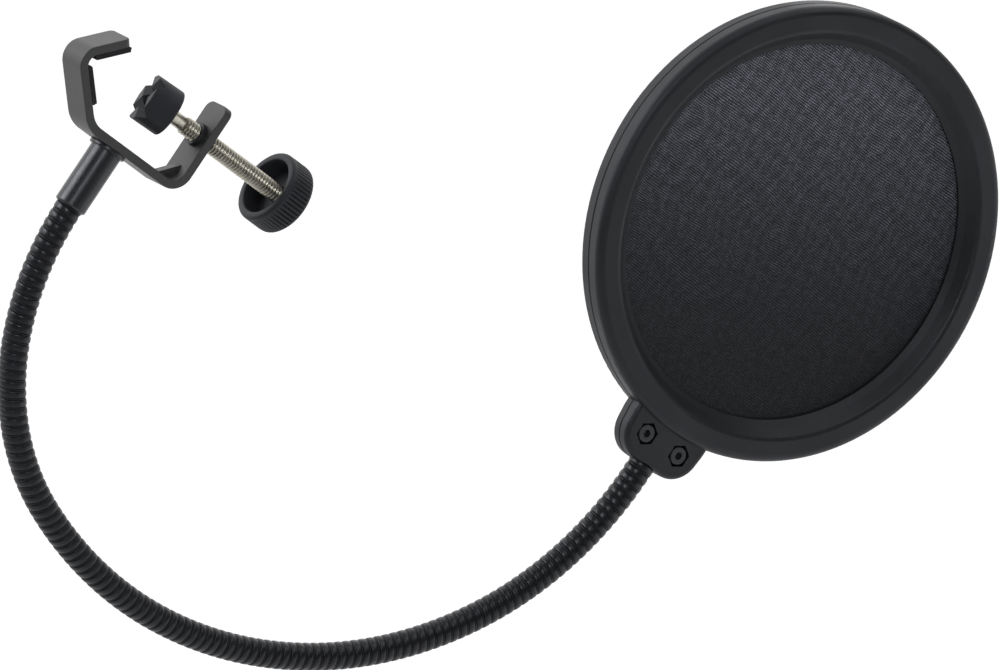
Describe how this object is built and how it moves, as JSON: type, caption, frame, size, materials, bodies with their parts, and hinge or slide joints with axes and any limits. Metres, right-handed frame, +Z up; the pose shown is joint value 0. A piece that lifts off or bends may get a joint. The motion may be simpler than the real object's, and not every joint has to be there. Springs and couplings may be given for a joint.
{
  "type": "pop filter",
  "caption": "Double-mesh disc on a flexible gooseneck with a screw clamp, held in front of a microphone to stop breath blasts.",
  "frame": {"origin": "middle of a 25 mm tube held in the clamp's V, midway across the strip", "axes": "+Z up, +Y from the disc's front to its back and along the gripped tube, +X from the clamp to the disc"},
  "size_m": [0.3761, 0.0252, 0.229],
  "materials": {
    "bracket_paint": "satin",
    "pad_rubber": "matte",
    "bush_black": "satin",
    "screw_steel": "satin",
    "knob_plastic": "matte",
    "ferrule_black": "satin",
    "casing_black": "satin",
    "spring_steel": "satin",
    "ring_plastic": "matte",
    "mesh_cloth": "matte",
    "fastener_black": "satin"
  },
  "bodies": {
    "clamp": {"clamp_bracket": "bracket_paint", "lip_pad": "pad_rubber", "side_pad": "pad_rubber", "screw_bush": "bush_black", "collar_washer": "ferrule_black", "neck_ferrule": "ferrule_black", "ferrule_screw": "screw_steel", "neck_casing_00": "casing_black", "neck_core_00": "spring_steel"},
    "jaw_carrier": {"jaw_clip": "spring_steel"},
    "screw": {"clamp_screw": "screw_steel", "knob": "knob_plastic"},
    "jaw_swivel_seat": {"jaw_seat": "spring_steel"},
    "jaw": {"jaw": "knob_plastic"},
    "neck_01": {"neck_casing_01": "casing_black", "neck_core_01": "spring_steel"},
    "neck_02": {"neck_casing_02": "casing_black", "neck_core_02": "spring_steel"},
    "neck_03": {"neck_casing_03": "casing_black", "neck_core_03": "spring_steel"},
    "neck_04": {"neck_casing_04": "casing_black", "neck_core_04": "spring_steel"},
    "neck_05": {"neck_casing_05": "casing_black", "neck_core_05": "spring_steel"},
    "neck_06": {"neck_casing_06": "casing_black", "neck_core_06": "spring_steel"},
    "neck_07": {"neck_casing_07": "casing_black", "neck_core_07": "spring_steel"},
    "neck_08": {"neck_casing_08": "casing_black", "neck_core_08": "spring_steel"},
    "neck_09": {"neck_casing_09": "casing_black", "neck_core_09": "spring_steel"},
    "neck_10": {"neck_casing_10": "casing_black", "neck_core_10": "spring_steel"},
    "neck_11": {"neck_casing_11": "casing_black", "neck_core_11": "spring_steel"},
    "head": {"neck_casing_12": "casing_black", "neck_core_12": "spring_steel", "front_ring": "ring_plastic", "back_ring": "ring_plastic", "spacer_ring": "ring_plastic", "front_mesh": "mesh_cloth", "back_mesh": "mesh_cloth", "tab_screws": "fastener_black", "tab_nuts": "fastener_black"}
  },
  "joints": [
    {"name": "jaw_travel", "type": "slide", "parent": "clamp", "child": "jaw_carrier", "axis": [0.7716, 0, -0.6361], "range_m": [-0.017, 0.007]},
    {"name": "screw_turn", "type": "hinge", "parent": "jaw_carrier", "child": "screw", "pos_m": [0.00114, 0, 0.00139], "axis": [0.7716, 0, -0.6361], "range_deg": [-4820.5, 1985.5]},
    {"name": "jaw_swivel", "type": "hinge", "parent": "jaw_carrier", "child": "jaw_swivel_seat", "pos_m": [0.01403, 0, -0.00923], "axis": [0.7716, 0, -0.6361], "continuous": true},
    {"name": "jaw_tilt", "type": "hinge", "parent": "jaw_swivel_seat", "child": "jaw", "pos_m": [0.01403, 0, -0.00923], "axis": [0.6361, 0, 0.7716], "range_deg": [-2, 40]},
    {"name": "neck_bend_01", "type": "hinge", "parent": "clamp", "child": "neck_01", "pos_m": [-0.02851, 0, -0.05054], "axis": [0, -1, 0], "range_deg": [-30, 8]},
    {"name": "neck_side_02", "type": "hinge", "parent": "neck_01", "child": "neck_02", "pos_m": [-0.03957, 0, -0.07936], "axis": [0.9791, 0, -0.2036], "range_deg": [-20, 20]},
    {"name": "neck_bend_03", "type": "hinge", "parent": "neck_02", "child": "neck_03", "pos_m": [-0.04013, 0, -0.11017], "axis": [0, -1, 0], "range_deg": [-30, 8]},
    {"name": "neck_side_04", "type": "hinge", "parent": "neck_03", "child": "neck_04", "pos_m": [-0.02942, 0, -0.13907], "axis": [0.8567, 0, 0.5158], "range_deg": [-20, 20]},
    {"name": "neck_bend_05", "type": "hinge", "parent": "neck_04", "child": "neck_05", "pos_m": [-0.01057, 0, -0.1636], "axis": [0, -1, 0], "range_deg": [-30, 8]},
    {"name": "neck_side_06", "type": "hinge", "parent": "neck_05", "child": "neck_06", "pos_m": [0.0133, 0, -0.18327], "axis": [0.5449, 0, 0.8385], "range_deg": [-20, 20]},
    {"name": "neck_bend_07", "type": "hinge", "parent": "neck_06", "child": "neck_07", "pos_m": [0.04088, 0, -0.19731], "axis": [0, -1, 0], "range_deg": [-30, 8]},
    {"name": "neck_side_08", "type": "hinge", "parent": "neck_07", "child": "neck_08", "pos_m": [0.07078, 0, -0.20526], "axis": [0.1539, 0, 0.9881], "range_deg": [-20, 20]},
    {"name": "neck_bend_09", "type": "hinge", "parent": "neck_08", "child": "neck_09", "pos_m": [0.10168, 0, -0.20667], "axis": [0, -1, 0], "range_deg": [-30, 8]},
    {"name": "neck_side_10", "type": "hinge", "parent": "neck_09", "child": "neck_10", "pos_m": [0.13216, 0, -0.20134], "axis": [-0.2784, 0, 0.9605], "range_deg": [-20, 20]},
    {"name": "neck_bend_11", "type": "hinge", "parent": "neck_10", "child": "neck_11", "pos_m": [0.16058, 0, -0.18916], "axis": [0, -1, 0], "range_deg": [-30, 8]},
    {"name": "neck_side_12", "type": "hinge", "parent": "neck_11", "child": "head", "pos_m": [0.18518, 0, -0.17041], "axis": [-0.6991, 0, 0.715], "range_deg": [-20, 20]}
  ],
  "couplings": [
    {"joint": "screw_turn", "follows": "jaw_travel", "rad_per_m": 4947.4}
  ]
}
